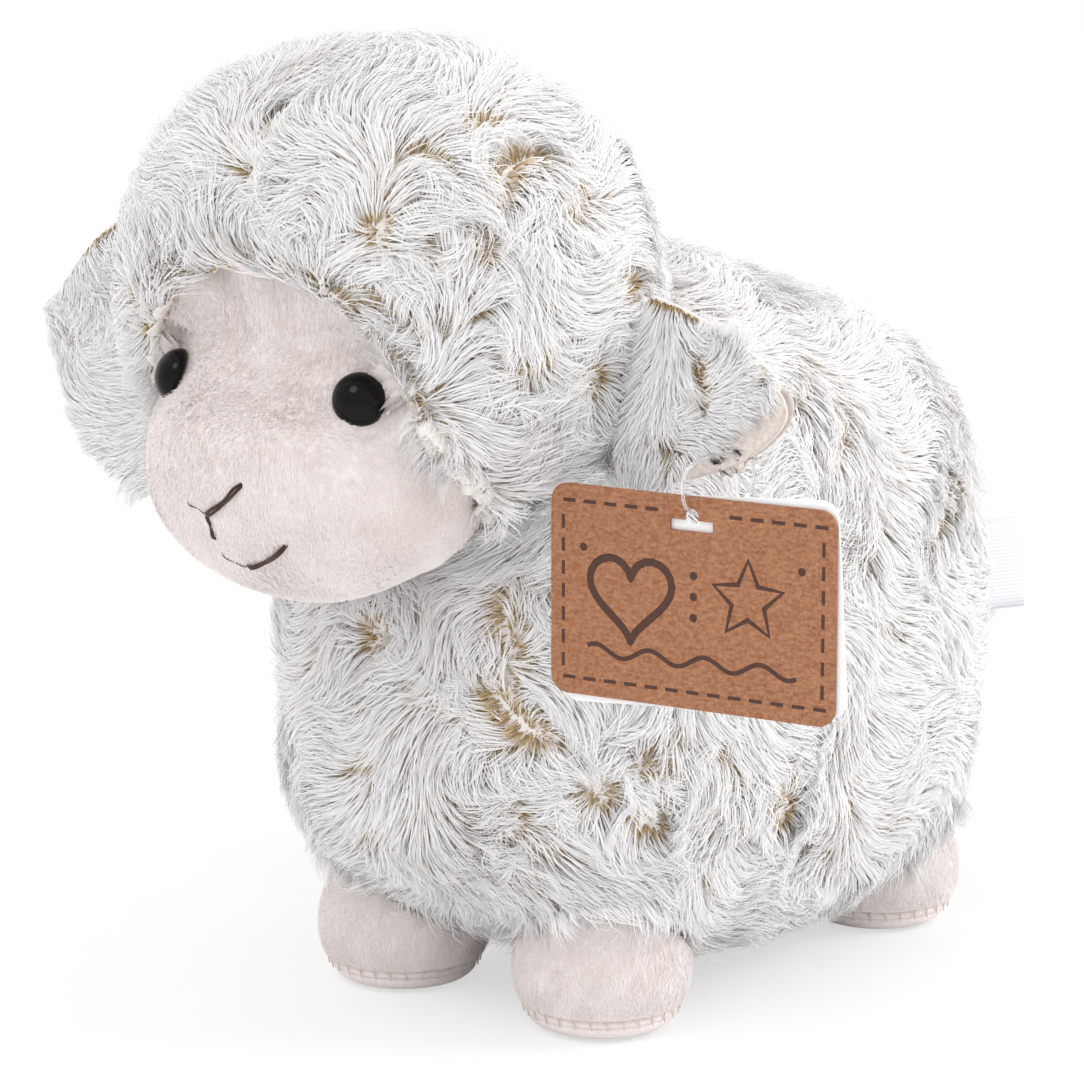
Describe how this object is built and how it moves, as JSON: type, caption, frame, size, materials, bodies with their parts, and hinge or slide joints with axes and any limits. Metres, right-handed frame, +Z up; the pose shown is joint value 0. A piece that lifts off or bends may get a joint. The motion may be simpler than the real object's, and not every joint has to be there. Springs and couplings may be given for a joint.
{
  "type": "plush toy",
  "caption": "standing plush sheep with a stuffed fur body and hood, a smooth face with safety eyes, lined flop ears, a hanging tail and card tags on a loop through one ear",
  "frame": {"origin": "on the ground plane under the middle of the toy's overall box", "axes": "+Z up from the soles, -Y the way the sheep faces, +X its left side"},
  "size_m": [0.237, 0.2978, 0.2248],
  "materials": {
    "fur": "long white pile with tan roots",
    "velour": "short pale pink-beige pile",
    "lining": "smooth beige short pile",
    "stuffing": "polyester fibre filling",
    "eye": "polished black",
    "washer": "natural moulded",
    "thread": "dark brown thread",
    "kraft": "brown kraft card",
    "card": "white card",
    "loop": "clear filament",
    "label": "white satin ribbon"
  },
  "bodies": {
    "torso": {"body_cover": "fur", "body_stuffing": "stuffing", "head_cover": "fur", "head_stuffing": "stuffing", "face_panel": "velour", "nose_embroidery": "thread", "mouth_embroidery": "thread", "eye_left": "eye", "eye_right": "eye", "eye_washer_left": "washer", "eye_washer_right": "washer", "leg_front_left_cover": "velour", "leg_front_left_sole": "velour", "leg_front_left_stuffing": "stuffing", "leg_front_right_cover": "velour", "leg_front_right_sole": "velour", "leg_front_right_stuffing": "stuffing", "leg_rear_left_cover": "velour", "leg_rear_left_sole": "velour", "leg_rear_left_stuffing": "stuffing", "leg_rear_right_cover": "velour", "leg_rear_right_sole": "velour", "leg_rear_right_stuffing": "stuffing"},
    "left_ear": {"ear_left_outer": "fur", "ear_left_lining": "lining"},
    "right_ear": {"ear_right_outer": "fur", "ear_right_lining": "lining"},
    "tail": {"tail_cover": "fur", "tail_stuffing": "stuffing"},
    "label": {"care_label": "label"},
    "loop": {"tag_loop": "loop"},
    "front_card": {"tag_front_card": "kraft"},
    "back_card": {"tag_back_card": "card"}
  },
  "joints": [
    {"name": "left_ear_flop", "type": "hinge", "parent": "torso", "child": "left_ear", "pos_m": [0.0594, -0.07766, 0.16], "axis": [0, 0, 1], "range_deg": [0, 50]},
    {"name": "right_ear_flop", "type": "hinge", "parent": "torso", "child": "right_ear", "pos_m": [-0.0696, -0.07766, 0.16], "axis": [0, 0, -1], "range_deg": [0, 50]},
    {"name": "tail_lift", "type": "hinge", "parent": "torso", "child": "tail", "pos_m": [-0.00513, 0.10624, 0.106], "axis": [1, 0, 0], "range_deg": [0, 50]},
    {"name": "care_label_bend", "type": "hinge", "parent": "torso", "child": "label", "pos_m": [0.01487, 0.1013, 0.081], "axis": [0, 0, 1], "range_deg": [-40, 20]},
    {"name": "tag_loop_turn", "type": "hinge", "parent": "left_ear", "child": "loop", "pos_m": [0.08267, -0.08016, 0.145], "axis": [0, 1, 0], "range_deg": [-12, 2]},
    {"name": "tag_swing", "type": "hinge", "parent": "loop", "child": "front_card", "pos_m": [0.08267, -0.09457, 0.1337], "axis": [-0.9903, -0.1392, 0], "range_deg": [0, 35]},
    {"name": "back_card_turn", "type": "hinge", "parent": "front_card", "child": "back_card", "pos_m": [0.08267, -0.09457, 0.133], "axis": [0.1392, -0.9903, 0], "range_deg": [-3, 15]}
  ]
}
